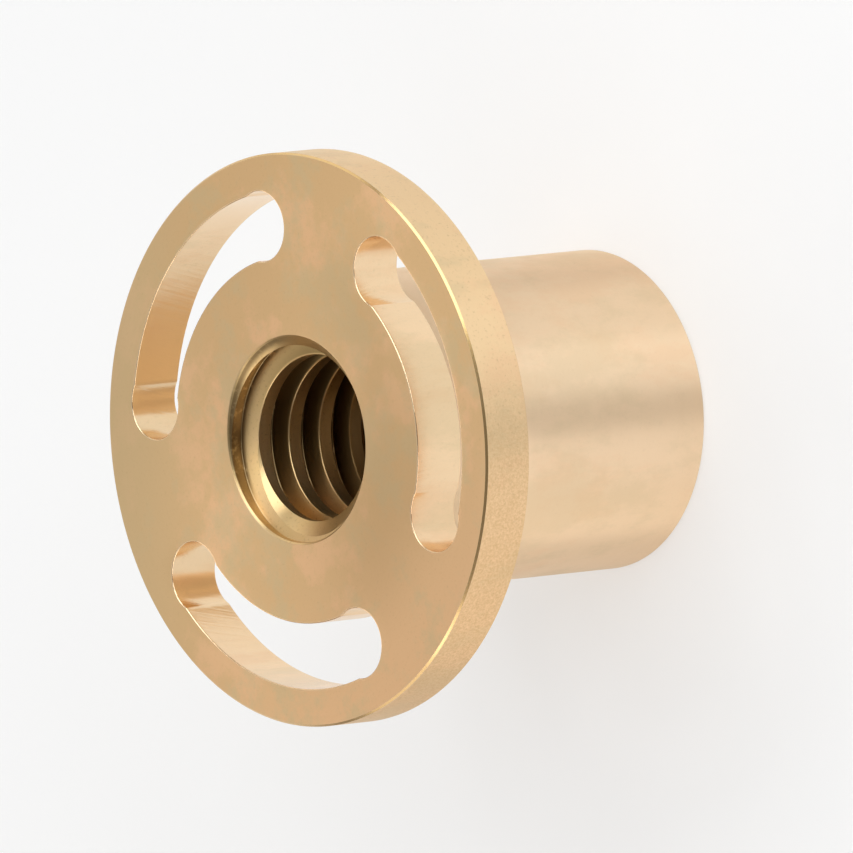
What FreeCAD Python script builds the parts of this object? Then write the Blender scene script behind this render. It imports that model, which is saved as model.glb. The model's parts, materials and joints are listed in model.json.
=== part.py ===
import FreeCAD, Part
import math
import os

import Sketcher

# Flanged lead screw nut: a barrel with a round flange, turned from one piece of bronze bar.
# A trapezoidal thread runs right through it, and three curved slots in the flange take its screws.
# The nut stands on the barrel's end: +Z runs along the thread, from the barrel's end to the
# flange's front face, and the origin is the middle of the barrel's end. One slot is centred on -Y.

DRIVING_SIZES = {
    "overall_length": 40.0,
    "flange_diameter": 57.0,
    "flange_thickness": 5.7,
    "rim_edge_break": 0.25,
    "barrel_diameter": 32.0,
    "barrel_end_break": 0.12,
    "thread_diameter": 20.0,
    "thread_pitch": 4.0,
    "thread_flank_angle": 30.0,
    "thread_crest_clearance": 0.25,
    "thread_root_clearance": 0.25,
    "thread_start_height": 2.15,
    "mouth_overhang": 0.2,
    "slot_land_width": 2.0,
    "slot_width": 6.5,
    "slot_end_diameter": 7.0,
    "slot_sweep_angle": 71.0,
    "slot_count": 3,
    "slot_edge_break": 0.12,
}

# The screw's thread is thread_diameter across. The nut's crests and roots stand clear of it, the mouths
# reach past the roots, and the slots' end holes leave a land round the barrel for the screws' heads.
WORKED_OUT_SIZES = {
    "under_flange_height": "=overall_length - flange_thickness",
    "barrel_radius": "=barrel_diameter / 2",
    "rim_radius": "=flange_diameter / 2",
    "pitch_radius": "=thread_diameter / 2 - thread_pitch / 4",
    "bore_radius": "=thread_diameter / 2 - thread_pitch / 2 + thread_crest_clearance",
    "root_radius": "=thread_diameter / 2 + thread_root_clearance",
    "mouth_depth": "=root_radius + mouth_overhang - bore_radius",
    "slot_circle_radius": "=barrel_radius + slot_land_width + slot_end_diameter / 2",
    "slot_inner_radius": "=slot_circle_radius - slot_width / 2",
    "slot_outer_radius": "=slot_circle_radius + slot_width / 2",
}

# The cutter starts inside the bore's open space by this much, and this many turns below the end
CUTTER_OVERLAP = 0.6
LEAD_IN_TURNS = 2
LEAD_OUT_TURNS = 1

# Two edges or points nearer than this are in one place
SAME_PLACE = 0.001

document = FreeCAD.newDocument("lead_screw_nut")
sheet = document.addObject("Spreadsheet::Sheet", "sizes")
for row, (size_name, value) in enumerate({**DRIVING_SIZES, **WORKED_OUT_SIZES}.items(), start=1):
    sheet.set(f"A{row}", size_name)
    sheet.set(f"B{row}", str(value))
    sheet.setAlias(f"B{row}", size_name)
document.recompute()


def size(name):
    """The value of one size, as the sheet holds it or works it out."""
    return float(getattr(sheet, name))


def origin_plane(body, role):
    """One of the body's own origin planes, such as XZ_Plane."""
    return next(item for item in body.Origin.OriginFeatures if item.Role == role)


def sketch_on(body, name, role):
    """A new sketch lying on one of the body's origin planes."""
    sketch = body.newObject("Sketcher::SketchObject", name)
    sketch.AttachmentSupport = (origin_plane(body, role), [""])
    sketch.MapMode = "FlatFace"
    return sketch


def dimension(sketch, name, constraint, expression):
    """Add a named dimension to a sketch and tie it to the sheet."""
    sketch.addConstraint(constraint)
    sketch.renameConstraint(sketch.ConstraintCount - 1, name)
    sketch.setExpression(f"Constraints.{name}", expression)


def outline(sketch, corners):
    """A closed outline of straight lines. Each corner is (name, x, y, x expression, y expression).

    An expression of None puts that corner on the sketch's axis.
    """
    points = [FreeCAD.Vector(x, y, 0) for _, x, y, _, _ in corners]
    following = points[1:] + points[:1]
    sketch.addGeometry([Part.LineSegment(a, b) for a, b in zip(points, following)], False)
    for line in range(len(corners)):
        before = line - 1 if line else len(corners) - 1
        sketch.addConstraint(Sketcher.Constraint("Coincident", before, 2, line, 1))
    for line, (name, x, y, across, up) in enumerate(corners):
        if across is None:
            sketch.addConstraint(Sketcher.Constraint("PointOnObject", line, 1, -2))
        else:
            dimension(sketch, f"{name}_across", Sketcher.Constraint("DistanceX", -1, 1, line, 1, x), across)
        if up is None:
            sketch.addConstraint(Sketcher.Constraint("PointOnObject", line, 1, -1))
        else:
            dimension(sketch, f"{name}_up", Sketcher.Constraint("DistanceY", -1, 1, line, 1, y), up)


def cut_took_material(feature, volume_before, what):
    """Stop if a cutting feature has left the solid as it was."""
    if feature.Shape.isNull() or feature.Shape.Volume > volume_before - SAME_PLACE:
        raise RuntimeError(f"the {what} cut nothing")
    return feature.Shape.Volume


def edges_where(shape, test):
    """The names of the edges of a shape that pass a test."""
    return [f"Edge{number}" for number, edge in enumerate(shape.Edges, start=1) if test(edge)]


def circle_at(radius, height):
    """A test for arcs or circles of this radius about the nut's axis, at this height."""

    def test(edge):
        if not isinstance(edge.Curve, Part.Circle):
            return False
        centre = edge.Curve.Center
        gaps = (math.hypot(centre.x, centre.y), edge.Curve.Radius - radius, centre.z - height)
        return all(abs(gap) < SAME_PLACE for gap in gaps)

    return test


def turned_blank(body):
    """The barrel and flange as turned: half of their section, swung round the axis."""
    length = size("overall_length")
    under_flange = size("under_flange_height")
    barrel = size("barrel_radius")
    end_break = size("barrel_end_break")
    rim = size("rim_radius")
    rim_break = size("rim_edge_break")
    face_edge_at = "sizes.rim_radius - sizes.rim_edge_break"
    rim_foot_at = "sizes.under_flange_height + sizes.rim_edge_break"
    rim_top_at = "sizes.overall_length - sizes.rim_edge_break"
    section = sketch_on(body, "blank_section", "XZ_Plane")
    outline(section, [
        ("end_middle", 0, 0, None, None),
        ("end_edge", barrel - end_break, 0, "sizes.barrel_radius - sizes.barrel_end_break", None),
        ("barrel_foot", barrel, end_break, "sizes.barrel_radius", "sizes.barrel_end_break"),
        ("barrel_top", barrel, under_flange, "sizes.barrel_radius", "sizes.under_flange_height"),
        ("back_edge", rim - rim_break, under_flange, face_edge_at, "sizes.under_flange_height"),
        ("rim_foot", rim, under_flange + rim_break, "sizes.rim_radius", rim_foot_at),
        ("rim_top", rim, length - rim_break, "sizes.rim_radius", rim_top_at),
        ("front_edge", rim - rim_break, length, face_edge_at, "sizes.overall_length"),
        ("front_middle", 0, length, None, "sizes.overall_length"),
    ])
    blank = body.newObject("PartDesign::Revolution", "turned_blank")
    blank.Profile = section
    blank.ReferenceAxis = (section, ["V_Axis"])
    blank.Angle = 360
    document.recompute()
    return blank


def slots(body, blank):
    """Three curved slots: two holes drilled through the flange, and the band milled between them."""
    circle_radius = size("slot_circle_radius")
    end_radius = size("slot_end_diameter") / 2
    half_sweep = math.radians(size("slot_sweep_angle") / 2)
    down = -math.pi / 2
    middle = FreeCAD.Vector(0, 0, 0)
    up = FreeCAD.Vector(0, 0, 1)

    def polar(radius, angle):
        return FreeCAD.Vector(radius * math.cos(angle), radius * math.sin(angle), 0)

    # The first end hole's centre is set by a construction line from the nut's axis
    holes = sketch_on(body, "slot_end_circles", "XY_Plane")
    holes.setExpression("AttachmentOffset.Base.z", "sizes.overall_length")
    for side, angle in enumerate((down - half_sweep, down + half_sweep)):
        centre = polar(circle_radius, angle)
        spoke = 2 * side
        holes.addGeometry(Part.LineSegment(middle, centre), True)
        holes.addGeometry(Part.Circle(centre, up, end_radius), False)
        holes.addConstraint(Sketcher.Constraint("Coincident", spoke, 1, -1, 1))
        holes.addConstraint(Sketcher.Constraint("Coincident", spoke + 1, 3, spoke, 2))
        dimension(holes, f"circle_radius_{side}", Sketcher.Constraint("Distance", spoke, circle_radius),
                  "sizes.slot_circle_radius")
        dimension(holes, f"end_radius_{side}", Sketcher.Constraint("Radius", spoke + 1, end_radius),
                  "sizes.slot_end_diameter / 2")
        turn = Sketcher.Constraint("Angle", -1, 1, spoke, 1, angle)
        sign = "-" if side == 0 else "+"
        dimension(holes, f"place_{side}", turn, f"-90 deg {sign} sizes.slot_sweep_angle * 1 deg / 2")
    drilled = body.newObject("PartDesign::Pocket", "slot_ends")
    drilled.Profile = holes
    drilled.setExpression("Length", "sizes.flange_thickness")
    document.recompute()
    cut_took_material(drilled, blank.Shape.Volume, "slot ends")

    # The band stops at the centres of its end holes
    inner = size("slot_inner_radius")
    outer = size("slot_outer_radius")
    start = down - half_sweep
    finish = down + half_sweep
    band = sketch_on(body, "slot_band_outline", "XY_Plane")
    band.setExpression("AttachmentOffset.Base.z", "sizes.overall_length")
    band.addGeometry([
        Part.ArcOfCircle(Part.Circle(middle, up, inner), start, finish),
        Part.ArcOfCircle(Part.Circle(middle, up, outer), start, finish),
        Part.LineSegment(polar(inner, start), polar(outer, start)),
        Part.LineSegment(polar(inner, finish), polar(outer, finish)),
    ], False)
    band.addConstraint([
        Sketcher.Constraint("Coincident", 0, 3, -1, 1),
        Sketcher.Constraint("Coincident", 1, 3, -1, 1),
        Sketcher.Constraint("Coincident", 2, 1, 0, 1),
        Sketcher.Constraint("Coincident", 2, 2, 1, 1),
        Sketcher.Constraint("Coincident", 3, 1, 0, 2),
        Sketcher.Constraint("Coincident", 3, 2, 1, 2),
        Sketcher.Constraint("PointOnObject", -1, 1, 2),
        Sketcher.Constraint("PointOnObject", -1, 1, 3),
    ])
    dimension(band, "inner_radius", Sketcher.Constraint("Radius", 0, inner), "sizes.slot_inner_radius")
    dimension(band, "outer_radius", Sketcher.Constraint("Radius", 1, outer), "sizes.slot_outer_radius")
    dimension(band, "start_angle", Sketcher.Constraint("Angle", -1, 1, 2, 1, start),
              "-90 deg - sizes.slot_sweep_angle * 1 deg / 2")
    dimension(band, "finish_angle", Sketcher.Constraint("Angle", -1, 1, 3, 1, finish),
              "-90 deg + sizes.slot_sweep_angle * 1 deg / 2")
    milled = body.newObject("PartDesign::Pocket", "slot_band")
    milled.Profile = band
    milled.setExpression("Length", "sizes.flange_thickness")
    document.recompute()
    volume = cut_took_material(milled, drilled.Shape.Volume, "slot band")

    pattern = body.newObject("PartDesign::PolarPattern", "slot_pattern")
    pattern.Originals = [drilled, milled]
    pattern.Axis = (band, ["N_Axis"])
    pattern.Angle = 360
    pattern.setExpression("Occurrences", "sizes.slot_count")
    body.Tip = pattern
    document.recompute()
    cut_took_material(pattern, volume, "slot pattern")

    # The slots' sharp edges are broken on both faces of the flange
    faces_at = (size("under_flange_height"), size("overall_length"))

    def on_a_slot(edge):
        if not isinstance(edge.Curve, Part.Circle):
            return False
        box = edge.BoundBox
        flat = box.ZLength < SAME_PLACE
        off_face = min(abs(box.ZMin - height) for height in faces_at)
        off_wall = min(abs(edge.Curve.Radius - radius) for radius in (inner, outer, end_radius))
        return flat and off_face < SAME_PLACE and off_wall < SAME_PLACE

    broken = body.newObject("PartDesign::Chamfer", "slot_edges")
    broken.Base = (pattern, edges_where(pattern.Shape, on_a_slot))
    broken.setExpression("Size", "sizes.slot_edge_break")
    document.recompute()
    cut_took_material(broken, pattern.Shape.Volume, "slot edges")
    return broken


def bore_and_mouths(body, slotted):
    """The bore that the thread is cut in, with its two countersunk mouths.

    The bore's circle is two half circles, so no face of the thread's crest runs more than
    half a turn.
    """
    radius = size("bore_radius")
    middle = FreeCAD.Vector(0, 0, 0)
    up = FreeCAD.Vector(0, 0, 1)
    circle = sketch_on(body, "bore_circle", "XY_Plane")
    circle.addGeometry([
        Part.ArcOfCircle(Part.Circle(middle, up, radius), 0, math.pi),
        Part.ArcOfCircle(Part.Circle(middle, up, radius), math.pi, 2 * math.pi),
    ], False)
    circle.addConstraint([
        Sketcher.Constraint("Coincident", 0, 3, -1, 1),
        Sketcher.Constraint("Coincident", 1, 3, -1, 1),
        Sketcher.Constraint("Coincident", 0, 2, 1, 1),
        Sketcher.Constraint("Coincident", 1, 2, 0, 1),
        Sketcher.Constraint("PointOnObject", 0, 1, -1),
    ])
    dimension(circle, "bore_radius", Sketcher.Constraint("Radius", 0, radius), "sizes.bore_radius")
    bore = body.newObject("PartDesign::Pocket", "bore")
    bore.Profile = circle
    bore.Type = "ThroughAll"
    bore.Reversed = True
    bore.Refine = False
    document.recompute()
    cut_took_material(bore, slotted.Shape.Volume, "bore")

    mouths = body.newObject("PartDesign::Chamfer", "bore_mouths")
    ends = [circle_at(radius, 0), circle_at(radius, size("overall_length"))]
    mouths.Base = (bore, [name for end in ends for name in edges_where(bore.Shape, end)])
    mouths.setExpression("Size", "sizes.mouth_depth")
    mouths.Refine = False
    document.recompute()
    cut_took_material(mouths, bore.Shape.Volume, "mouths")
    return mouths


def thread(body, bored):
    """The trapezoidal thread: its groove's section, carried up a right-hand helix.

    The groove is half a pitch wide at the pitch radius, and each flank leans by half the flank angle.
    """
    pitch = size("thread_pitch")
    lean = math.tan(math.radians(size("thread_flank_angle") / 2))
    root = size("root_radius")
    mouth = size("bore_radius") - CUTTER_OVERLAP
    half_root = pitch / 4 - (root - size("pitch_radius")) * lean
    half_mouth = pitch / 4 + (size("pitch_radius") - mouth) * lean
    start = size("thread_start_height")

    mouth_at = f"sizes.bore_radius - {CUTTER_OVERLAP}"
    lean_is = "tan(sizes.thread_flank_angle * 1 deg / 2)"
    half_root_is = f"(sizes.thread_pitch / 4 - (sizes.root_radius - sizes.pitch_radius) * {lean_is})"
    half_mouth_is = f"(sizes.thread_pitch / 4 + (sizes.pitch_radius - ({mouth_at})) * {lean_is})"
    below = "sizes.thread_start_height -"
    above = "sizes.thread_start_height +"
    groove = sketch_on(body, "thread_groove_section", "XZ_Plane")
    groove.setExpression("AttachmentOffset.Base.y", f"-{LEAD_IN_TURNS} * sizes.thread_pitch")
    outline(groove, [
        ("mouth_low", mouth, start - half_mouth, mouth_at, f"{below} {half_mouth_is}"),
        ("root_low", root, start - half_root, "sizes.root_radius", f"{below} {half_root_is}"),
        ("root_high", root, start + half_root, "sizes.root_radius", f"{above} {half_root_is}"),
        ("mouth_high", mouth, start + half_mouth, mouth_at, f"{above} {half_mouth_is}"),
    ])
    cut = body.newObject("PartDesign::SubtractiveHelix", "lead_screw_thread")
    cut.Profile = groove
    cut.ReferenceAxis = (groove, ["V_Axis"])
    cut.Mode = "pitch-height-angle"
    cut.setExpression("Pitch", "sizes.thread_pitch")
    turns_past = LEAD_IN_TURNS + LEAD_OUT_TURNS
    cut.setExpression("Height", f"sizes.overall_length + {turns_past} * sizes.thread_pitch")
    cut.Angle = 0
    cut.LeftHanded = False
    cut.Reversed = False
    cut.Refine = False
    document.recompute()
    cut_took_material(cut, bored.Shape.Volume, "thread")
    return cut


nut = document.addObject("PartDesign::Body", "lead_screw_nut")
nut.Label = "lead_screw_nut"
nut.Placement = FreeCAD.Placement()
blank = turned_blank(nut)
slotted = slots(nut, blank)
bored = bore_and_mouths(nut, slotted)
nut.Tip = thread(nut, bored)
document.recompute()

faults = [item.Name for item in document.Objects if {"Invalid", "Error"} & set(item.State)]
if faults:
    raise RuntimeError(f"these objects failed: {', '.join(faults)}")

os.makedirs("parts", exist_ok=True)
for sub_part in [nut]:
    shape = sub_part.Shape
    if shape.isNull() or not shape.isValid() or len(shape.Solids) != 1:
        raise RuntimeError(f"{sub_part.Label} is not one sound solid")
    shape.exportStep(f"parts/{sub_part.Label}.step")
    box = shape.optimalBoundingBox()
    print(sub_part.Label, f"{box.XLength:.3f} x {box.YLength:.3f} x {box.ZLength:.3f} mm,",
          f"{shape.Volume:.1f} mm3, {len(shape.Faces)} faces")
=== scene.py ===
import json
import math
from functools import cached_property
from typing import NamedTuple

import bmesh
import bpy
import numpy as np
from mathutils import Matrix, Vector


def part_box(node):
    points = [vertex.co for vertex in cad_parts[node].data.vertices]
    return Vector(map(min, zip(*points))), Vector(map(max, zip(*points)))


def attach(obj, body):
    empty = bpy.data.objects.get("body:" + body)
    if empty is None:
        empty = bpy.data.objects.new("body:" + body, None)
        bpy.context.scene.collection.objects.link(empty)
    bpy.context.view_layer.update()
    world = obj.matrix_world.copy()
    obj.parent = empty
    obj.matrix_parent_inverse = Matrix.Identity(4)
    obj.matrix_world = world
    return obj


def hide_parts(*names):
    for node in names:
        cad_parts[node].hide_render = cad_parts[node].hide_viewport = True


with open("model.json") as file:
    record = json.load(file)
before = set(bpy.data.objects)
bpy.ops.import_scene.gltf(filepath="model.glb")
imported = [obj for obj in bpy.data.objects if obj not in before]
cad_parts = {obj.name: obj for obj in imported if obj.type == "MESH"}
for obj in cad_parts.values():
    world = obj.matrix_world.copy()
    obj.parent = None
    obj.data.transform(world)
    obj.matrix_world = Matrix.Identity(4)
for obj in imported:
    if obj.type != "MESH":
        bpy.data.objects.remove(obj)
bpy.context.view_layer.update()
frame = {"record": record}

bl_info = {
    "name": "Lead screw nut",
    "version": (1, 0, 0),
    "blender": (4, 5, 0),
    "location": "3D View > Sidebar > Lead screw nut",
    "description": "Builds a machined bronze lead screw nut and the studio that it is shown in",
    "category": "Object",
}

MM = 0.001
NODE = "lead_screw_nut"
MOUNTS = {mount["name"]: mount for mount in frame["record"]["mounts"]}
NODE_LOW, NODE_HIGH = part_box(NODE)

# Columns of the surfaces round the nut's axis, and their share in each of the three sectors
TURN_STEPS = 360
SECTORS = 3
SECTOR_STEPS = TURN_STEPS // SECTORS
# Steps of a slot's outline: along each long side, and round each end
SLOT_SIDE_STEPS = 90
SLOT_END_STEPS = 60
# Steps along the straight edge between two sectors. The rest of a slot end faces the round edges.
SECTOR_EDGE_STEPS = SLOT_END_STEPS - (SECTOR_STEPS - SLOT_SIDE_STEPS)
FACE_ROWS = 4
EDGE_ROWS = 5
FIRST_SLOT_ANGLE = math.radians(-90)
# The surfaces' map round the axis, and how far out and up one unit of it reaches
AXIS_MAP = "round_the_axis"
MAP_HEIGHT = 10 * MM
# Rows across a thread's flank, and the places of the lines across half a crest as shares of it
FLANK_ROWS = 4
CREST_SHARES = (0, 0.25, 0.6)
# The thread's lines start this many pitches below the barrel's end, to fill its first turn
FIRST_PITCH = -2
# Points nearer than this are one point
SAME_PLACE = 0.002 * MM
SHARP_ANGLE = math.radians(20)


class NutSizes(bpy.types.PropertyGroup):
    """The nut's own sizes. Those that the frame holds come from it."""

    flange_diameter: bpy.props.FloatProperty(
        name="Flange diameter", description="Across the flange's rim",
        default=NODE_HIGH.x - NODE_LOW.x, unit="LENGTH", subtype="DISTANCE", precision=5)
    overall_length: bpy.props.FloatProperty(
        name="Overall length", description="From the barrel's end to the flange's front face",
        default=NODE_HIGH.z - NODE_LOW.z, unit="LENGTH", subtype="DISTANCE", precision=5)
    flange_back: bpy.props.FloatProperty(
        name="Flange back", description="Height of the flange's back face above the barrel's end",
        default=MOUNTS["flange_back"]["pos_m"][2], unit="LENGTH", subtype="DISTANCE", precision=5)
    barrel_diameter: bpy.props.FloatProperty(
        name="Barrel diameter", description="Across the plain barrel",
        default=2 * MM * MOUNTS["barrel"]["dims"]["r_mm"],
        unit="LENGTH", subtype="DISTANCE", precision=5)
    rim_break: bpy.props.FloatProperty(
        name="Rim edge break", description="Bevel on both edges of the flange's rim",
        default=0.2 * MM, unit="LENGTH", subtype="DISTANCE", precision=6)
    barrel_break: bpy.props.FloatProperty(
        name="Barrel end bevel", description="Bevel round the barrel's end",
        default=0.12 * MM, unit="LENGTH", subtype="DISTANCE", precision=6)
    crest_diameter: bpy.props.FloatProperty(
        name="Crest diameter", description="Across the thread's crests, the bore's narrowest",
        default=2 * MM * MOUNTS["lead_screw_thread"]["dims"]["r_mm"],
        unit="LENGTH", subtype="DISTANCE", precision=5)
    root_diameter: bpy.props.FloatProperty(
        name="Root diameter", description="Across the thread's roots",
        default=20.5 * MM, unit="LENGTH", subtype="DISTANCE", precision=5)
    mouth_diameter: bpy.props.FloatProperty(
        name="Mouth diameter", description="Across the countersunk mouths of the bore",
        default=20.9 * MM, unit="LENGTH", subtype="DISTANCE", precision=5)
    mouth_break: bpy.props.FloatProperty(
        name="Mouth edge rounding", description="Rounding between a mouth and its face",
        default=0.15 * MM, unit="LENGTH", subtype="DISTANCE", precision=6)
    pitch: bpy.props.FloatProperty(
        name="Pitch", description="Rise of the thread in one turn",
        default=4 * MM, unit="LENGTH", subtype="DISTANCE", precision=5)
    pitch_diameter: bpy.props.FloatProperty(
        name="Pitch diameter", description="Where the groove is half a pitch wide",
        default=18 * MM, unit="LENGTH", subtype="DISTANCE", precision=5)
    flank_lean: bpy.props.FloatProperty(
        name="Flank lean", description="Lean of each flank of the thread, half its whole angle",
        default=math.radians(15), subtype="ANGLE")
    thread_start: bpy.props.FloatProperty(
        name="Thread start", description="Height of the middle of a groove on the +X side",
        default=2.15 * MM, unit="LENGTH", subtype="DISTANCE", precision=5)
    thread_break: bpy.props.FloatProperty(
        name="Thread edge break", description="Small flat on the thread's corners",
        default=0.045 * MM, unit="LENGTH", subtype="DISTANCE", precision=6)
    slot_circle: bpy.props.FloatProperty(
        name="Slot circle", description="Diameter of the circle that the slots follow",
        default=MM * MOUNTS["fixing_slots"]["dims"]["pcd_mm"],
        unit="LENGTH", subtype="DISTANCE", precision=5)
    slot_width: bpy.props.FloatProperty(
        name="Slot width", description="Width of each slot between its ends",
        default=6.5 * MM, unit="LENGTH", subtype="DISTANCE", precision=5)
    slot_end_diameter: bpy.props.FloatProperty(
        name="Slot end diameter", description="Diameter of the hole at each end of a slot",
        default=7 * MM, unit="LENGTH", subtype="DISTANCE", precision=5)
    slot_sweep: bpy.props.FloatProperty(
        name="Slot sweep", description="Angle between the holes at a slot's ends",
        default=math.radians(71), subtype="ANGLE")
    slot_break: bpy.props.FloatProperty(
        name="Slot edge break", description="Rounding of the slots' edges",
        default=0.12 * MM, unit="LENGTH", subtype="DISTANCE", precision=6)


def polar(radius, angle):
    """Flat points at these radii and angles about the nut's axis: x and y in the last place."""
    return np.stack([radius * np.cos(angle), radius * np.sin(angle)], axis=-1)


def slot_outline(sizes, outset):
    """One slot's outline, moved out into the metal by outset, for a slot centred on +X.

    Two arcs about the nut's axis run along the slot, and two arcs about the end holes' centres
    close it. Each pair meets where the law of cosines puts the crossing of the two circles.
    """
    circle = sizes.slot_circle / 2
    end_radius = sizes.slot_end_diameter / 2 + outset
    half_sweep = sizes.slot_sweep / 2
    centre = polar(circle, half_sweep)

    def crossing(radius):
        turn = math.acos((circle**2 + radius**2 - end_radius**2) / (2 * circle * radius))
        corner = polar(radius, half_sweep - turn) - centre
        return half_sweep - turn, math.atan2(corner[1], corner[0])

    inner = circle - sizes.slot_width / 2 - outset
    outer = circle + sizes.slot_width / 2 + outset
    inner_turn, end_start = crossing(inner)
    outer_turn, end_stop = crossing(outer)
    end_start = end_start % (2 * math.pi)
    end_turns = np.linspace(end_start, end_stop, SLOT_END_STEPS, endpoint=False)
    end = centre + polar(end_radius, end_turns)
    far_corner = polar(outer, outer_turn)[None]
    near_side = polar(inner, np.linspace(-inner_turn, inner_turn, SLOT_SIDE_STEPS, endpoint=False))
    far_side = polar(outer, np.linspace(outer_turn, -outer_turn, SLOT_SIDE_STEPS, endpoint=False))
    other_end = np.concatenate([end[1:], far_corner])[::-1] * (1, -1)
    outline = np.concatenate([near_side, end, far_side, other_end])
    return np.concatenate([outline, outline[:1]])


def sector_border(inner, outer):
    """The border of one third of a ring, with one point for each point of a slot's outline."""
    half = math.pi / SECTORS
    near = polar(inner, np.linspace(-half, half, SECTOR_STEPS, endpoint=False))
    up = polar(np.linspace(inner, outer, SECTOR_EDGE_STEPS, endpoint=False), half)
    far = polar(outer, np.linspace(half, -half, SECTOR_STEPS, endpoint=False))
    down = polar(np.linspace(outer, inner, SECTOR_EDGE_STEPS, endpoint=False), -half)
    border = np.concatenate([near, up, far, down])
    border = np.roll(border, -(SECTOR_STEPS - SLOT_SIDE_STEPS) // 2, axis=0)
    return np.concatenate([border, border[:1]])


def turned(flat, angle):
    """Flat points turned about the nut's axis by an angle."""
    across, along = flat[..., 0], flat[..., 1]
    cosine, sine = math.cos(angle), math.sin(angle)
    return np.stack([cosine * across - sine * along, sine * across + cosine * along], axis=-1)


def at_height(flat, height):
    """Flat points set at a height, or each row of them at its own height."""
    heights = np.broadcast_to(np.asarray(height, float).reshape(-1, 1), flat.shape[:2])
    return np.concatenate([flat, heights[..., None]], axis=-1)


def face_sector(sizes, inner, outer, height, angle):
    """A third of a flat ring with one slot through it.

    Each point lies on the straight line from a point of the slot's edge to its partner on the
    sector's border, at a share of that line that grows evenly from row to row.
    """
    edge = slot_outline(sizes, sizes.slot_break)
    border = sector_border(inner, outer)
    share = np.linspace(0, 1, FACE_ROWS + 1)[:, None, None]
    return at_height(turned(edge * (1 - share) + border * share, angle), height)


def slot_walls(sizes, angle):
    """The wall of one slot: its outline carried down through the flange.

    At both faces the outline opens out round a quarter circle as wide as the edge break.
    """
    round_off = np.linspace(0, math.pi / 2, EDGE_ROWS + 1)
    top_out = sizes.slot_break * (1 - np.sin(round_off))
    top_height = sizes.overall_length - sizes.slot_break * (1 - np.cos(round_off))
    low_height = sizes.flange_back + sizes.slot_break * (1 - np.cos(round_off[::-1]))
    outsets = np.concatenate([top_out, top_out[::-1]])
    heights = np.concatenate([top_height, low_height])
    rows = np.stack([slot_outline(sizes, outset) for outset in outsets])
    return at_height(turned(rows, angle), heights)


def lathe(radii, heights):
    """A profile of radius and height swung once round the nut's axis."""
    turns = np.linspace(0, 2 * math.pi, TURN_STEPS + 1)
    flat = polar(np.asarray(radii)[:, None], turns[None])
    return at_height(flat, heights)


def mouth_edge(sizes, face_height, into):
    """The rounded edge between one countersunk mouth and its face.

    It is an arc of 45 degrees. It touches the face as far outside the mouth as the radius times
    the tangent of 22.5 degrees, and leads on into the cone.
    """
    rounding = sizes.mouth_break
    turns = np.linspace(0, math.pi / 4, EDGE_ROWS + 1)
    centre = sizes.mouth_diameter / 2 + rounding * math.tan(math.pi / 8)
    radii = centre - rounding * np.sin(turns)
    return lathe(radii, face_height + into * rounding * (1 - np.cos(turns)))


def thread_lines(sizes):
    """Lines that run up the thread: each one's height on the +X side, and its radius.

    One pitch of the thread's section is a flat root, a straight flank, a flat crest and the
    other flank, with a small flat at each corner.
    """
    quarter = sizes.pitch / 4
    lean = math.tan(sizes.flank_lean)
    root = sizes.root_diameter / 2
    crest = sizes.crest_diameter / 2
    middle = sizes.pitch_diameter / 2
    small = sizes.thread_break

    def flank(radius):
        return quarter - (radius - middle) * lean

    flank_radii = np.linspace(root - small, crest + small, FLANK_ROWS)
    root_edge, crest_edge = flank(root) - small, flank(crest) + small
    crest_middle = sizes.pitch / 2
    half = [(0, root), (root_edge / 2, root), (root_edge, root)]
    half += [(flank(radius), radius) for radius in flank_radii]
    half += [(crest_edge + share * (crest_middle - crest_edge), crest) for share in CREST_SHARES]
    half = np.array(half)
    other_half = half[:0:-1] * (-1, 1) + (sizes.pitch, 0)
    section = np.concatenate([half, [(crest_middle, crest)], other_half])
    pitches = np.arange(FIRST_PITCH, math.ceil(sizes.overall_length / sizes.pitch) + 1)
    heights = section[None, :, 0] + pitches[:, None] * sizes.pitch + sizes.thread_start
    radii = np.broadcast_to(section[None, :, 1], heights.shape)
    return heights.ravel(), radii.ravel()


def threaded_bore(sizes):
    """The bore's surface, from the mouth at the barrel's end to the mouth in the flange.

    Its radius is the thread's or the countersinks', whichever is larger. The thread's lines climb
    one pitch a turn. Where a stretch between two lines runs into a countersink, the end that lies
    in the countersink moves to the crossing, so the edge between them is sharp.
    """
    starts, radii = thread_lines(sizes)
    turns = np.linspace(0, 2 * math.pi, TURN_STEPS + 1)
    heights = starts[:, None] + sizes.pitch * turns[None] / (2 * math.pi)
    radii = np.broadcast_to(radii[:, None], heights.shape)
    mouth = sizes.mouth_diameter / 2

    def countersink(height):
        return mouth - np.minimum(height, sizes.overall_length - height)

    over = countersink(heights) - radii
    in_mouth = over >= 0
    lip = sizes.mouth_break * (1 - math.cos(math.pi / 4))
    kept_heights = np.clip(heights, lip, sizes.overall_length - lip)
    kept_radii = np.where(in_mouth, countersink(kept_heights), radii)
    share = over[:-1] / np.where(over[:-1] == over[1:], 1, over[:-1] - over[1:])
    crossings = heights[:-1] + share * (heights[1:] - heights[:-1])
    leaves = in_mouth[:-1] & ~in_mouth[1:]
    enters = ~in_mouth[:-1] & in_mouth[1:]
    for rows, found in ((slice(1, None), enters), (slice(None, -1), leaves)):
        kept_heights[rows] = np.where(found, crossings, kept_heights[rows])
        kept_radii[rows] = np.where(found, countersink(crossings), kept_radii[rows])
    return np.concatenate([polar(kept_radii, turns[None]), kept_heights[..., None]], axis=-1)


def round_the_axis(points):
    """A map for each point of a surface: its turns about the axis, and how far out and up it lies.

    The angle is unrolled along each row, so it never jumps between two neighbouring points.
    """
    angle = np.unwrap(np.arctan2(points[..., 1], points[..., 0]), axis=1)
    reach = np.hypot(points[..., 0], points[..., 1]) + points[..., 2]
    return np.stack([angle / (2 * math.pi), reach / MAP_HEIGHT], axis=-1)


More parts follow.
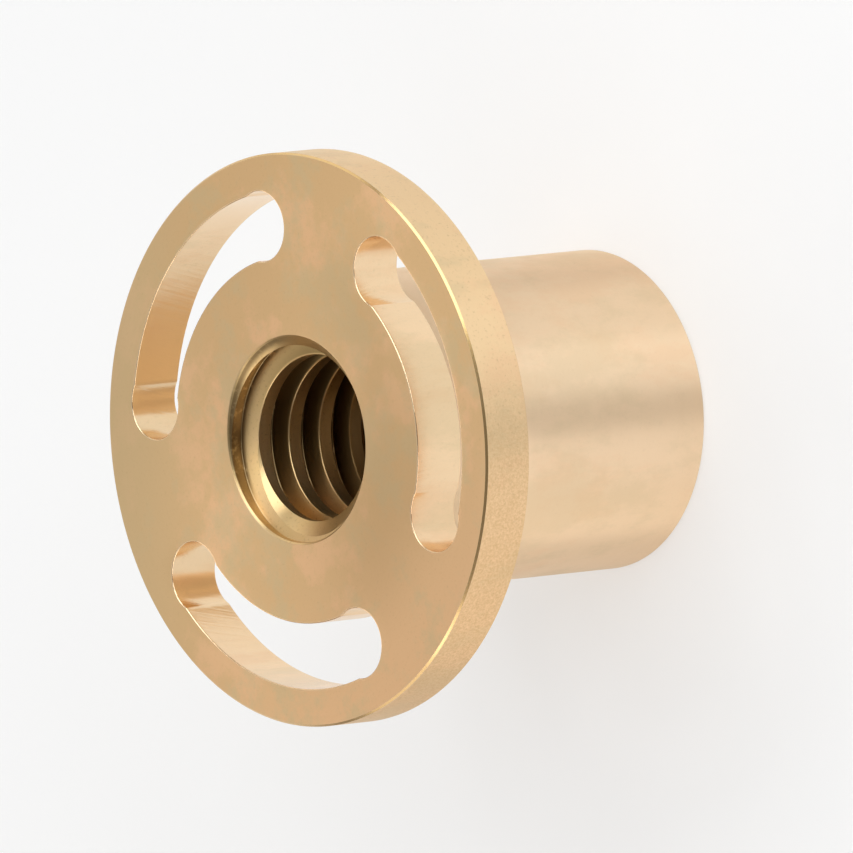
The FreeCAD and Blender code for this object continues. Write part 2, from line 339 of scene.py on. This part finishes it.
def grid_faces(rows, columns):
    """The corner numbers of the four-sided faces of a grid of points."""
    first = np.arange(rows - 1)[:, None] * columns + np.arange(columns - 1)[None]
    faces = np.stack([first, first + 1, first + columns + 1, first + columns], axis=-1)
    return faces.reshape(-1, 4)


def joined_mesh(name, surfaces):
    """One closed mesh from surfaces of (points, material numbers), whose edges meet exactly."""
    points, faces, maps, finishes = [], [], [], []
    count = 0
    for surface, finish in surfaces:
        rows, columns = surface.shape[:2]
        corners = grid_faces(rows, columns)
        points.append(surface.reshape(-1, 3))
        maps.append(round_the_axis(surface).reshape(-1, 2)[corners.ravel()])
        faces.append(corners + count)
        finishes.append(np.broadcast_to(finish, (rows - 1, columns - 1)).ravel())
        count += rows * columns
    mesh = bpy.data.meshes.new(name)
    mesh.from_pydata(np.concatenate(points), [], np.concatenate(faces))
    mesh.polygons.foreach_set("material_index", np.concatenate(finishes).astype(np.int32))
    mesh.uv_layers.new(name=AXIS_MAP).data.foreach_set("uv", np.concatenate(maps).ravel())
    work = bmesh.new()
    work.from_mesh(mesh)
    bmesh.ops.remove_doubles(work, verts=work.verts, dist=SAME_PLACE)
    bmesh.ops.recalc_face_normals(work, faces=work.faces)
    open_edges = sum(not edge.is_manifold for edge in work.edges)
    work.to_mesh(mesh)
    work.free()
    if open_edges:
        raise RuntimeError(f"{name} has {open_edges} open edges")
    mesh.shade_smooth()
    mesh.set_sharp_from_angle(angle=SHARP_ANGLE)
    return mesh


class Finish(NamedTuple):
    """One finish of the bronze, apart from its colour. Its depths are in thousandths of a mm."""

    roughness: float
    drawn_out: float
    run: str
    marks_per_metre: float
    groove_depth: float
    unevenness: float
    blotches: float
    stretch: float
    specks: float


# The nut's materials, in the order of their slots. Marks that are "turned" run round the axis, and
# "milled" ones up a slot's wall.
FINISHES = {
    "bronze_face": Finish(0.42, 0.30, "turned", 3500.0, 3.0, 60.0, 0.60, 1.0, 0.12),
    "bronze_rim": Finish(0.42, 0.80, "turned", 4000.0, 5.0, 60.0, 0.42, 0.5, 0.25),
    "bronze_barrel": Finish(0.42, 0.93, "turned", 4000.0, 5.0, 70.0, 0.25, 0.5, 0.05),
    "bronze_slot": Finish(0.22, 0.30, "milled", 2500.0, 40.0, 60.0, 0.32, 0.3, 0.10),
    "bronze_cut": Finish(0.22, 0.30, "turned", 4000.0, 8.0, 30.0, 0.15, 1.0, 0.20),
    "bronze_thread": Finish(0.34, 0.40, "turned", 4000.0, 14.0, 30.0, 0.20, 1.0, 0.40),
}


class NUT_OT_machined_nut(bpy.types.Operator):
    """Build the nut: turned flange and barrel, milled slots, cut thread and countersunk mouths"""

    bl_idname = "nut.machined_nut"
    bl_label = "Machined nut"

    def execute(self, context):
        sizes = context.scene.nut_sizes
        rim = sizes.flange_diameter / 2
        barrel = sizes.barrel_diameter / 2
        mouth = sizes.mouth_diameter / 2 + sizes.mouth_break * math.tan(math.pi / 8)
        front, back = sizes.overall_length, sizes.flange_back
        rim_edge, barrel_edge = rim - sizes.rim_break, barrel - sizes.barrel_break
        face, on_rim, on_barrel, wall, cut, thread = range(len(FINISHES))
        surfaces = []
        for slot in range(SECTORS):
            angle = FIRST_SLOT_ANGLE + slot * 2 * math.pi / SECTORS
            surfaces.append((face_sector(sizes, mouth, rim_edge, front, angle), face))
            surfaces.append((face_sector(sizes, barrel, rim_edge, back, angle), face))
            surfaces.append((slot_walls(sizes, angle), wall))
        rim_heights = [front, front - sizes.rim_break, back + sizes.rim_break, back]
        rim_rows = lathe([rim_edge, rim, rim, rim_edge], rim_heights)
        surfaces.append((rim_rows, np.array([[cut], [on_rim], [cut]])))
        barrel_rows = lathe([barrel, barrel, barrel_edge], [back, sizes.barrel_break, 0])
        surfaces.append((barrel_rows, np.array([[on_barrel], [cut]])))
        surfaces.append((lathe([barrel_edge, mouth], [0, 0]), face))
        surfaces.append((mouth_edge(sizes, front, -1), face))
        surfaces.append((mouth_edge(sizes, 0, 1), face))
        surfaces.append((threaded_bore(sizes), thread))
        mesh = joined_mesh("machined_nut", surfaces)
        effects = tarnish_and_reflection_effect(), tool_marks_effect()
        for name in FINISHES:
            mesh.materials.append(bronze(name, context, *effects))
        nut = bpy.data.objects.new("machined_nut", mesh)
        context.scene.collection.objects.link(nut)
        weighted = nut.modifiers.new("flat faces stay flat", "WEIGHTED_NORMAL")
        weighted.keep_sharp = True
        weighted.weight = 100
        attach(nut, "root")
        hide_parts(NODE)
        return {"FINISHED"}


class Nodes:
    """Short calls that add nodes to one node tree and link them."""

    def __init__(self, tree):
        self.tree = tree

    def add(self, kind, settings=None, **inputs):
        """A node of this kind. Each input is a value or a socket, by the input's own name."""
        node = self.tree.nodes.new(kind)
        for name, value in (settings or {}).items():
            setattr(node, name, value)
        for name, value in inputs.items():
            self.feed(node.inputs[name.replace("_", " ")], value)
        return node

    def feed(self, socket, value):
        """Set a socket to a value, or link another socket to it."""
        if isinstance(value, bpy.types.NodeSocket):
            self.tree.links.new(value, socket)
        else:
            socket.default_value = value

    def math(self, operation, first, second=0.0, third=0.0):
        """One sum, product or other operation on up to three numbers."""
        node = self.add("ShaderNodeMath", {"operation": operation})
        for socket, value in zip(node.inputs, (first, second, third)):
            self.feed(socket, value)
        return node.outputs[0]

    def span(self, value, low, high, to_low=0.0, to_high=1.0):
        """Map a number from one range to another, smoothly and without passing its ends."""
        node = self.add("ShaderNodeMapRange", {"interpolation_type": "SMOOTHSTEP"})
        for name, number in (("Value", value), ("From Min", low), ("From Max", high),
                             ("To Min", to_low), ("To Max", to_high)):
            self.feed(node.inputs[name], number)
        return node.outputs["Result"]

    def mix(self, share, first, second):
        """A blend of two colours."""
        node = self.add("ShaderNodeMix", {"data_type": "RGBA"})
        colours = [socket for socket in node.inputs if socket.type == "RGBA"]
        self.feed(node.inputs[0], share)
        self.feed(colours[0], first)
        self.feed(colours[1], second)
        return next(socket for socket in node.outputs if socket.type == "RGBA")

    def noise(self, place, scale, detail=2.0, roughness=0.5):
        """Noise at a place, from 0 to 1. The scale is in waves for each metre."""
        return self.add("ShaderNodeTexNoise", Vector=place, Scale=scale, Detail=detail,
                        Roughness=roughness).outputs[0]

    def stretched(self, place, factors):
        """A place multiplied by three factors, to stretch a pattern."""
        node = self.add("ShaderNodeVectorMath", {"operation": "MULTIPLY"})
        self.feed(node.inputs[0], place)
        self.feed(node.inputs[1], factors)
        return node.outputs[0]


def effect(name, inputs, outputs):
    """A new shader group, its given inputs and its outputs to fill.

    Each input is a (name, kind, default) and each output a (name, kind).
    """
    tree = bpy.data.node_groups.new(name, "ShaderNodeTree")
    for label, kind, default in inputs:
        socket = tree.interface.new_socket(label, in_out="INPUT", socket_type=f"NodeSocket{kind}")
        socket.default_value = default
    for label, kind in outputs:
        tree.interface.new_socket(label, in_out="OUTPUT", socket_type=f"NodeSocket{kind}")
    nodes = Nodes(tree)
    return nodes, nodes.add("NodeGroupInput").outputs, nodes.add("NodeGroupOutput").inputs


# The angle about the axis is turned into a length at this radius
TURN_RADIUS = 20 * MM
# Zones that differ in colour: a direction about the axis in degrees, and the two distances towards
# it between which the zone fades in
ZONES = {
    # A painted coppery reflection on this side, laid over the pink tarnish
    "coppery_reflection": (-165, 8 * MM, 28 * MM),
    "olive": (70, 12 * MM, 28 * MM),
    "darker_by_bore": (-105, 0.0, 13 * MM),
    "darker_edge": (95, 14 * MM, 28 * MM),
    "grainy": (-165, 4 * MM, 22 * MM),
    # Painted shade on the bore's flanks, on one side
    "shaded_flanks": (25, -3 * MM, 4 * MM),
    # Grime with painted shade at the mouths' roots, on one side
    "grimy_and_shaded": (52, 3.8 * MM, 7.8 * MM),
}


class NutPlace:
    """Where a point of the surface lies on the nut, as sockets in metres."""

    def __init__(self, nodes):
        self.nodes = nodes
        self.point = nodes.add("ShaderNodeTexCoord").outputs["Object"]
        self.x, self.y, self.height = nodes.add("ShaderNodeSeparateXYZ", Vector=self.point).outputs

    @cached_property
    def radius(self):
        """The distance from the axis: the root of x squared plus y squared."""
        squares = [self.nodes.math("POWER", side, 2.0) for side in (self.x, self.y)]
        return self.nodes.math("SQRT", self.nodes.math("ADD", *squares))

    @cached_property
    def turn_length(self):
        """The way round the axis, as a length."""
        return self.nodes.math("MULTIPLY", self.nodes.math("ARCTAN2", self.y, self.x), TURN_RADIUS)

    def zone(self, name, share=1.0):
        """A mask that rises from 0 to the share where the zone begins.

        The distance towards the zone is x times the cosine of its direction, plus y times the sine.
        """
        direction, near, far = ZONES[name]
        turn = math.radians(direction)
        toward = self.nodes.math("ADD", self.nodes.math("MULTIPLY", self.x, math.cos(turn)),
                                 self.nodes.math("MULTIPLY", self.y, math.sin(turn)))
        return self.nodes.span(toward, near, far, 0.0, share)


# The tarnish's noise, how far its green blotches are shifted from the pink ones, and the spans of
# the noise over which each kind fades in
BLOTCHES_PER_METRE = 110.0
GREEN_SHIFT = (0.31, 0.17, 0.05)
PINK_SPAN = (0.48, 0.62)
GREEN_SPAN = (0.47, 0.63)
SPECKS_PER_METRE = 3200.0
SPECK_SPAN = (0.55, 0.75)


def tarnish_and_reflection_effect():
    """Soft blotches that turn the metal a little pink in places and a little green in others.

    One side of the nut is pink all over, a painted coppery reflection laid over the tarnish, and
    another is green. Stretch draws the blotches out along the nut's axis as it nears 0. Tiny dark
    specks lie over both.
    """
    nodes, given, out = effect(
        "bronze_tarnish_and_reflection",
        [("Colour", "Color", (0.7, 0.5, 0.3, 1)), ("Pink", "Color", (0.8, 0.5, 0.4, 1)),
         ("Green", "Color", (0.6, 0.5, 0.3, 1)), ("Dark", "Color", (0.4, 0.25, 0.1, 1)),
         ("Stretch", "Float", 1.0), ("Strength", "Float", 0.5), ("Speckle", "Float", 0.1)],
        [("Colour", "Color"), ("Dullness", "Float")])
    place = NutPlace(nodes)
    factors = nodes.add("ShaderNodeCombineXYZ", X=1.0, Y=1.0, Z=given["Stretch"]).outputs[0]
    drawn = nodes.stretched(place.point, factors)
    shifted = nodes.add("ShaderNodeVectorMath", {"operation": "ADD"})
    nodes.feed(shifted.inputs[0], drawn)
    nodes.feed(shifted.inputs[1], GREEN_SHIFT)

    def blotches(where, fade, side):
        noise = nodes.noise(where, BLOTCHES_PER_METRE, detail=6.0, roughness=0.68)
        spots = nodes.math("MAXIMUM", nodes.span(noise, *fade), place.zone(side))
        return nodes.math("MULTIPLY", spots, given["Strength"])

    # The pink is tarnish in blotches, with a painted coppery reflection all over one side
    pink = blotches(drawn, PINK_SPAN, "coppery_reflection")
    green = blotches(shifted.outputs[0], GREEN_SPAN, "olive")
    fine = nodes.noise(place.point, SPECKS_PER_METRE, detail=3.0, roughness=0.6)
    specks = nodes.math("MULTIPLY", nodes.span(fine, *SPECK_SPAN), given["Speckle"])
    colour = nodes.mix(pink, given["Colour"], given["Pink"])
    colour = nodes.mix(green, colour, given["Green"])
    colour = nodes.mix(specks, colour, given["Dark"])
    nodes.feed(out["Colour"], colour)
    nodes.feed(out["Dullness"], nodes.math("ADD", pink, specks))
    return nodes.tree


# How often a groove changes along its length, how many coarse grooves there are for each fine one,
# and the waves of the hand-polished unevenness
BREAKS_PER_METRE = 40.0
COARSE_SHARE = 0.25
WAVES_PER_METRE = 170.0


def tool_marks_effect():
    """Fine grooves left by the tool, and the slight unevenness of a surface polished by hand.

    The grooves are noise that is drawn out along them, half of it coarse and half of it fine. They
    come out as a mask from 0 to 1. Grooves and unevenness together come out as one height.
    """
    nodes, given, out = effect(
        "tool_marks",
        [("Along", "Float", 0.0), ("Across", "Float", 0.0), ("Marks per metre", "Float", 3000.0),
         ("Groove depth", "Float", 0.5), ("Unevenness", "Float", 1.0)],
        [("Height", "Float"), ("Mask", "Float")])
    across = nodes.math("MULTIPLY", given["Across"], given["Marks per metre"])
    along = nodes.math("MULTIPLY", given["Along"], BREAKS_PER_METRE)
    place = nodes.add("ShaderNodeCombineXYZ", X=across, Y=along).outputs[0]
    coarse = nodes.noise(nodes.stretched(place, (COARSE_SHARE, 1.0, 1.0)), scale=1.0, detail=1.0)
    fine = nodes.noise(place, scale=1.0)
    grooves = nodes.math("MULTIPLY", nodes.math("ADD", coarse, fine), 0.5)
    body = nodes.add("ShaderNodeTexCoord").outputs["Object"]
    waves = nodes.noise(body, WAVES_PER_METRE, roughness=0.6)
    uneven = nodes.math("MULTIPLY", waves, given["Unevenness"])
    nodes.feed(out["Height"], nodes.math("MULTIPLY_ADD", grooves, given["Groove depth"], uneven))
    nodes.feed(out["Mask"], grooves)
    return nodes.tree


def colour_setting(name, description, colour):
    """A colour that the panel shows."""
    return bpy.props.FloatVectorProperty(
        name=name, description=description, default=colour, subtype="COLOR", min=0, max=1)


class BronzeLook(bpy.types.PropertyGroup):
    """The bronze's colours."""

    bronze_barrel: colour_setting("Barrel", "Clean turned bronze", (0.915, 0.69, 0.46))
    bronze_rim: colour_setting("Rim", "The flange's rim, handled the most", (0.885, 0.64, 0.37))
    bronze_face: colour_setting("Faces", "The flat faces, slightly dulled", (0.735, 0.50, 0.262))
    bronze_slot: colour_setting("Slot walls", "Freshly milled bronze", (0.93, 0.695, 0.44))
    bronze_cut: colour_setting(
        "Cut edges", "The bevels of the rim and the barrel's end", (0.76, 0.51, 0.23))
    bronze_thread: colour_setting("Bore", "The countersinks and the thread", (0.75, 0.52, 0.24))
    # Painted shade on the thread's flanks
    flank: colour_setting("Thread flanks", "The flanks inside the bore", (0.35, 0.24, 0.10))
    # Painted shade deep in the bore's middle
    depth_shade: colour_setting("Bore depth shade", "The bore's middle, painted dark as shade", (0.32, 0.22, 0.10))
    # Grime, and painted shade at the roots of the mouths on one side
    grime_and_shade: colour_setting("Grime", "The dirt in the bore's mouths", (0.25, 0.165, 0.075))
    # This pink is also the painted coppery reflection on one side of the nut
    pink: colour_setting("Pink blotches", "Where the tarnish is coppery", (0.88, 0.565, 0.33))
    green: colour_setting("Green blotches", "Where the tarnish is olive", (0.66, 0.52, 0.30))
    worn: colour_setting("Rough rim", "The grainy part of the rim", (0.66, 0.42, 0.20))
    # Also the colour of the faces' darker zone beside the bore and of their darker edge
    dark: colour_setting("Specks and darker zones", "Pits, specks and the faces' darker zones", (0.36, 0.22, 0.10))


MICRON = 0.001 * MM
# The highlight is drawn out across the marks
QUARTER_TURN = 0.25
# What the tool marks and the tarnish add to a finish's roughness
MARK_ROUGHNESS = 0.12
DULL_ROUGHNESS = 0.10
# How far milled marks lean for each unit of height
MILLED_LEAN = 0.25

# The darker zone beside the bore: the radii between which it fades out and its share, and the share of
# the darker edge
DARKER_ZONE_REACH = (25 * MM, 14 * MM)
DARKER_ZONE_SHARE = 0.26
DARKER_EDGE_SHARE = 0.16
# The rim's grain: its noise, the span over which it fades in, and its share
GRAINS_PER_METRE = 3800.0
GRAIN_SPAN = (0.32, 0.68)
GRAIN_SHARE = 0.75
# The bore: how far from the crests and the roots the painted shade on its flanks sets in, how deep
# in the mouths it starts to, and how far from the nut's middle the painted shade of its depth reaches
CREST_FADE = (0.03 * MM, 0.25 * MM)
ROOT_FADE = (0.05 * MM, 0.2 * MM)
MOUTH_FADE = (2.2 * MM, 3.2 * MM)
DEPTH_SHADE_REACH = (9 * MM, 4 * MM)
# Grime with painted shade in the mouths: it thickens just inside the roots' radius and thins again
# just outside it
GRIME_SHADE_PATCHES_PER_METRE = 700.0
GRIME_SHADE_SPAN = (0.22, 0.48)
GRIME_SHADE_INSIDE = (0.6 * MM, 0.1 * MM)
GRIME_SHADE_OUTSIDE = (0.06 * MM, 0.01 * MM)
GRIME_SHADE_OUTSIDE_SHARE = 0.45


def face_darker_zones(nodes, place, look, colour):
    """The faces' colour with a darker zone beside the bore and a darker edge."""
    near_bore = nodes.span(place.radius, *DARKER_ZONE_REACH, 0.0, DARKER_ZONE_SHARE)
    darker_by_bore = nodes.math("MULTIPLY", place.zone("darker_by_bore"), near_bore)
    colour = nodes.mix(darker_by_bore, colour, (*look.dark, 1))
    return nodes.mix(place.zone("darker_edge", DARKER_EDGE_SHARE), colour, (*look.dark, 1))


def rim_grain(nodes, place, look, colour):
    """The rim's colour with a rough, grainy patch on one side."""
    grain = nodes.noise(place.point, GRAINS_PER_METRE, detail=5.0, roughness=0.75)
    patch = place.zone("grainy", GRAIN_SHARE)
    share = nodes.math("MULTIPLY", nodes.span(grain, *GRAIN_SPAN), patch)
    return nodes.mix(share, colour, (*look.worn, 1))


def bore_dirt_and_shade(nodes, place, look, sizes, colour):
    """The bore's colour with painted shade on the flanks and deep inside, and dirt and shade in the
    mouths.
    """
    crest, root = sizes.crest_diameter / 2, sizes.root_diameter / 2
    middle = sizes.overall_length / 2
    from_middle = nodes.math("ABSOLUTE", nodes.math("SUBTRACT", place.height, middle))
    off_crest = nodes.span(place.radius, crest + CREST_FADE[0], crest + CREST_FADE[1])
    off_root = nodes.span(place.radius, root - ROOT_FADE[0], root - ROOT_FADE[1])
    on_flank = nodes.math("MULTIPLY", off_crest, off_root)
    on_flank = nodes.math("MULTIPLY", on_flank, place.zone("shaded_flanks"))
    inside = nodes.span(from_middle, middle - MOUTH_FADE[0], middle - MOUTH_FADE[1])
    # Painted shade on the flanks, away from the mouths and on one side
    colour = nodes.mix(nodes.math("MULTIPLY", on_flank, inside), colour, (*look.flank, 1))
    # Painted shade deep in the bore's middle
    colour = nodes.mix(nodes.span(from_middle, *DEPTH_SHADE_REACH), colour, (*look.depth_shade, 1))
    # Grime with painted shade just inside the roots' radius, in patches and on one side
    patches = nodes.noise(place.point, GRIME_SHADE_PATCHES_PER_METRE, detail=3.0, roughness=0.7)
    rising = nodes.span(place.radius, root - GRIME_SHADE_INSIDE[0], root - GRIME_SHADE_INSIDE[1])
    falling = nodes.span(place.radius, root + GRIME_SHADE_OUTSIDE[0], root + GRIME_SHADE_OUTSIDE[1],
                         GRIME_SHADE_OUTSIDE_SHARE, 1.0)
    grime_and_shade = nodes.math("MULTIPLY", rising, falling)
    grime_and_shade = nodes.math("MULTIPLY", grime_and_shade, nodes.span(patches, *GRIME_SHADE_SPAN))
    return nodes.mix(nodes.math("MULTIPLY", grime_and_shade, place.zone("grimy_and_shaded")), colour, (*look.grime_and_shade, 1))


def bronze(name, context, tarnish_and_reflection_tree, marks_tree):
    """One finish of the bronze: its tarnish, the marks of its tool and its shine."""
    look, sizes, finish = context.scene.bronze_look, context.scene.nut_sizes, FINISHES[name]
    material = bpy.data.materials.new(name)
    material.use_nodes = True
    nodes = Nodes(material.node_tree)
    shader = material.node_tree.nodes["Principled BSDF"]
    place = NutPlace(nodes)
    if finish.run == "milled":
        along = place.height
        across = nodes.math("MULTIPLY_ADD", place.height, MILLED_LEAN, place.turn_length)
    else:
        along = place.turn_length
        across = nodes.math("ADD", place.radius, place.height)
    marks = nodes.add("ShaderNodeGroup", {"node_tree": marks_tree},
                      Along=along, Across=across, Marks_per_metre=finish.marks_per_metre,
                      Groove_depth=finish.groove_depth, Unevenness=finish.unevenness)
    # This group paints tarnish, and a coppery reflection on one side
    tarnish = nodes.add("ShaderNodeGroup", {"node_tree": tarnish_and_reflection_tree},
                        Strength=finish.blotches, Stretch=finish.stretch, Speckle=finish.specks)
    for label, tint in (("Colour", name), ("Pink", "pink"), ("Green", "green"), ("Dark", "dark")):
        tarnish.inputs[label].default_value = (*getattr(look, tint), 1)
    colour = tarnish.outputs["Colour"]
    if name == "bronze_face":
        colour = face_darker_zones(nodes, place, look, colour)
    elif name == "bronze_rim":
        colour = rim_grain(nodes, place, look, colour)
    elif name == "bronze_thread":
        colour = bore_dirt_and_shade(nodes, place, look, sizes, colour)
    smoothest = finish.roughness - MARK_ROUGHNESS / 2
    rough = nodes.math("MULTIPLY_ADD", marks.outputs["Mask"], MARK_ROUGHNESS, smoothest)
    rough = nodes.math("MULTIPLY_ADD", tarnish.outputs["Dullness"], DULL_ROUGHNESS, rough)
    bump = nodes.add("ShaderNodeBump", Strength=1.0, Distance=MICRON,
                     Height=marks.outputs["Height"])
    tangent = nodes.add("ShaderNodeTangent", {"direction_type": "UV_MAP", "uv_map": AXIS_MAP})
    nodes.feed(shader.inputs["Base Color"], colour)
    nodes.feed(shader.inputs["Normal"], bump.outputs["Normal"])
    nodes.feed(shader.inputs["Roughness"], rough)
    nodes.feed(shader.inputs["Tangent"], tangent.outputs[0])
    shader.inputs["Metallic"].default_value = 1
    shader.inputs["Anisotropic"].default_value = finish.drawn_out
    shader.inputs["Anisotropic Rotation"].default_value = QUARTER_TURN
    return material


def level_setting(name, description, level):
    """A level from 0 to 1 that the panel shows."""
    return bpy.props.FloatProperty(
        name=name, description=description, default=level, min=0, max=1, subtype="FACTOR")


class StudioLook(bpy.types.PropertyGroup):
    """The studio's colours and levels."""

    floor_colour: colour_setting("Floor", "The floor's own colour", (0.95, 0.95, 0.95))
    floor_glow: level_setting(
        "Floor evenness", "How much of the floor the camera sees as evenly lit", 0.42)
    mirrored_glow: level_setting(
        "Mirrored evenness", "How much of the floor shows as evenly lit in the metal", 0.47)
    world_level: level_setting(
        "Surroundings", "Brightness of everything beyond the floor and lamps", 0.20)


FLOOR_HALF = 3.0
# The floor lies this much under the nut, so that the two don't flicker where they touch
FLOOR_DROP = 0.02 * MM
FLOOR_ROUGHNESS = 0.9


def pale_floor(look):
    """A pale, matt floor.

    The camera and the metal see part of it as evenly lit, and the rest with its shadows.
    """
    material = bpy.data.materials.new("pale_floor")
    material.use_nodes = True
    nodes = Nodes(material.node_tree)
    matt = material.node_tree.nodes["Principled BSDF"]
    matt.inputs["Base Color"].default_value = (*look.floor_colour, 1)
    matt.inputs["Roughness"].default_value = FLOOR_ROUGHNESS
    matt.inputs["Specular IOR Level"].default_value = 0.0
    glow = nodes.add("ShaderNodeEmission", Color=(1.0, 1.0, 1.0, 1.0), Strength=1.0)
    path = nodes.add("ShaderNodeLightPath").outputs
    seen = nodes.math("MULTIPLY", path["Is Camera Ray"], look.floor_glow)
    both = nodes.add("ShaderNodeMixShader")
    glowing = nodes.math("MULTIPLY_ADD", path["Is Glossy Ray"], look.mirrored_glow, seen)
    nodes.feed(both.inputs[0], glowing)
    nodes.feed(both.inputs[1], matt.outputs[0])
    nodes.feed(both.inputs[2], glow.outputs[0])
    nodes.feed(material.node_tree.nodes["Material Output"].inputs["Surface"], both.outputs[0])
    return material


# Each lamp's azimuth and elevation in degrees, its width and height in metres, and its colour,
# where 1 looks white
LAMPS = {
    "key_near": (-74, 22, 0.60, 0.50, (2.75, 3.0, 3.3)),
    "key_top": (-32, 38, 0.81, 0.60, (2.3, 2.4, 2.45)),
    "strip_near": (-132, 12, 0.63, 0.38, (2.6, 2.62, 2.72)),
    "strip_far": (-171, 17, 0.75, 0.52, (2.05, 2.0, 1.9)),
    "top_edge": (22, 15, 0.70, 0.50, (0.9, 0.9, 0.9)),
    "overhead": (-90, 90, 0.66, 0.66, (0.35, 0.35, 0.35)),
    "high_side": (-45, 58, 0.30, 0.30, (0.8, 0.8, 0.8)),
    "high_top": (8, 62, 0.42, 0.42, (2.7, 2.72, 2.75)),
    "side_high": (166, 33, 0.55, 0.28, (1.15, 1.12, 1.08)),
    "side_low": (146, 19, 0.40, 0.36, (0.95, 0.93, 0.9)),
    "back": (80, 45, 1.30, 1.00, (0.565, 0.533, 0.495)),
    "back_low": (90, 12, 0.45, 0.38, (1.7, 1.65, 1.5)),
}
LAMP_DISTANCE = 1.0
NUT_MIDDLE = Vector((0, 0, 20 * MM))

def softbox(scene, name, azimuth, elevation, width, height, radiance):
    """A soft rectangular lamp that faces the nut's middle.

    Its power is its brightest channel times pi times its area.
    """
    data = bpy.data.lights.new(name, "AREA")
    data.shape = "RECTANGLE"
    data.size = width
    data.size_y = height
    strength = max(radiance)
    data.color = [channel / strength for channel in radiance]
    data.energy = strength * math.pi * width * height
    lamp = bpy.data.objects.new(name, data)
    turn, rise = math.radians(azimuth), math.radians(elevation)
    level = math.cos(rise)
    away = Vector((math.cos(turn) * level, math.sin(turn) * level, math.sin(rise)))
    lamp.location = NUT_MIDDLE + LAMP_DISTANCE * away
    lamp.rotation_mode = "QUATERNION"
    lamp.rotation_quaternion = away.to_track_quat("Z", "Y")
    lamp.visible_camera = False
    scene.collection.objects.link(lamp)


# The camera, fitted to the photograph: its sensor and lens in millimetres, how many metres it
# sees, its place, and the directions of the picture's right and top
CAMERA_SENSOR = 36
CAMERA_LENS = 1012.9
CAMERA_REACH = 100
CAMERA_PLACE = Vector((-349.1, -1766.8, 1588.4)) * MM
PICTURE_RIGHT = Vector((-0.2258, -0.6207, -0.7508))
PICTURE_TOP = Vector((0.963, -0.258, -0.0764))


class NUT_OT_studio(bpy.types.Operator):
    """Build the studio: a pale floor, soft lamps and the camera"""

    bl_idname = "nut.studio"
    bl_label = "Studio"

    def execute(self, context):
        scene, look = context.scene, context.scene.studio_look
        scene.view_settings.view_transform = "Standard"
        floor_mesh = bpy.data.meshes.new("floor")
        corners = [(FLOOR_HALF * across, FLOOR_HALF * along, -FLOOR_DROP)
                   for across, along in ((-1, -1), (1, -1), (1, 1), (-1, 1))]
        floor_mesh.from_pydata(corners, [], [(0, 1, 2, 3)])
        floor_mesh.materials.append(pale_floor(look))
        floor = bpy.data.objects.new("floor", floor_mesh)
        scene.collection.objects.link(floor)
        world = bpy.data.worlds.new("studio")
        scene.world = world
        world.use_nodes = True
        grey = (look.world_level, look.world_level, look.world_level, 1)
        world.node_tree.nodes["Background"].inputs["Color"].default_value = grey
        for name, values in LAMPS.items():
            softbox(scene, name, *values)
        data = bpy.data.cameras.new("photo_camera")
        data.sensor_width = CAMERA_SENSOR
        data.lens = CAMERA_LENS
        data.clip_end = CAMERA_REACH
        camera = bpy.data.objects.new("photo_camera", data)
        backward = PICTURE_RIGHT.cross(PICTURE_TOP)
        turn = Matrix((PICTURE_RIGHT, PICTURE_TOP, backward)).transposed().to_4x4()
        camera.matrix_world = Matrix.Translation(CAMERA_PLACE) @ turn
        scene.collection.objects.link(camera)
        scene.camera = camera
        return {"FINISHED"}


class NUT_PT_panel(bpy.types.Panel):
    """The nut's sizes and the buttons that build it"""

    bl_label = "Lead screw nut"
    bl_idname = "NUT_PT_panel"
    bl_space_type = "VIEW_3D"
    bl_region_type = "UI"
    bl_category = "Lead screw nut"

    def draw(self, context):
        for operator in OPERATORS:
            self.layout.operator(operator.bl_idname)
        for group in SETTINGS:
            settings = getattr(context.scene, group)
            for name in settings.__annotations__:
                self.layout.prop(settings, name)


OPERATORS = (NUT_OT_machined_nut, NUT_OT_studio)
SETTINGS = {"nut_sizes": NutSizes, "bronze_look": BronzeLook, "studio_look": StudioLook}
CLASSES = (*SETTINGS.values(), *OPERATORS, NUT_PT_panel)


def register():
    """Add the classes and the scene's settings to Blender."""
    for added in CLASSES:
        bpy.utils.register_class(added)
    for name, settings in SETTINGS.items():
        setattr(bpy.types.Scene, name, bpy.props.PointerProperty(type=settings))


def unregister():
    """Take the classes and settings away again."""
    for name in SETTINGS:
        delattr(bpy.types.Scene, name)
    for added in reversed(CLASSES):
        bpy.utils.unregister_class(added)


def main():
    """Build everything."""
    register()
    bpy.ops.nut.machined_nut()
    bpy.ops.nut.studio()


if __name__ == "__main__":
    main()
